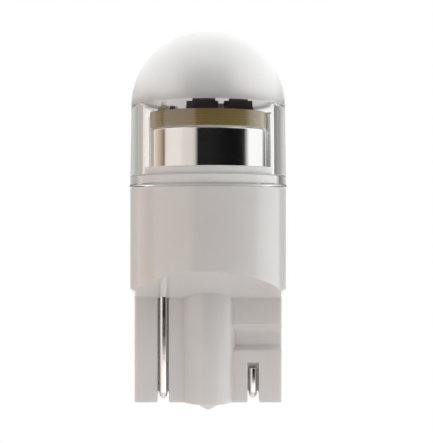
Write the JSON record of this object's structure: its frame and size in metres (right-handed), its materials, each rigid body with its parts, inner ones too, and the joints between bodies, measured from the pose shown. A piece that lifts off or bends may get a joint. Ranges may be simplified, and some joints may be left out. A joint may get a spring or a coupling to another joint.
{
  "type": "wedge base led bulb",
  "caption": "Capless wedge-base signal bulb with an opal dome, a clear window over a bright heat-sink barrel, and bent contact wires in a flat blade.",
  "frame": {"origin": "centre of the flat bottom edge of the blade, where it bottoms in its socket", "axes": "+Z along the bulb's axis towards the dome, X along the blade's width, -Y is the front face"},
  "size_m": [0.0104, 0.0104, 0.0248],
  "materials": {
    "base_plastic": "satin moulded, slightly translucent off-white",
    "clear_plastic": "clear, polished",
    "opal_plastic": "opal white, satin",
    "bright_metal": "turned and polished, plated",
    "pad_silicone": "soft grey pad",
    "board_laminate": "glass-cloth laminate, olive brown edge",
    "led_white": "white moulded carrier",
    "led_phosphor": "yellow filling",
    "chip_black": "black moulded package",
    "solder": "bright tin",
    "ceramic_dark": "glazed black top",
    "ceramic_tan": "fired tan ceramic",
    "tinned_wire": "bright tinned wire"
  },
  "bodies": {
    "root": {"base_housing": "base_plastic", "board_resistor_caps": "solder", "board_resistors": "ceramic_dark", "clear_sleeve": "clear_plastic", "contact_solder_joints": "solder", "contact_wire_back": "tinned_wire", "contact_wire_front": "tinned_wire", "diffuser_dome": "opal_plastic", "driver_board": "board_laminate", "driver_chip_leads": "solder", "driver_chip_left": "chip_black", "driver_chip_right": "chip_black", "driver_part_ends": "solder", "feed_solder_joints": "solder", "feed_wire_left": "tinned_wire", "feed_wire_right": "tinned_wire", "heat_sink_barrel": "bright_metal", "led_board": "board_laminate", "led_package": "led_white", "led_phosphor": "led_phosphor", "load_resistor": "ceramic_dark", "rectifier_diodes": "chip_black", "smoothing_capacitor": "ceramic_tan", "thermal_pad": "pad_silicone"}
  },
  "joints": []
}
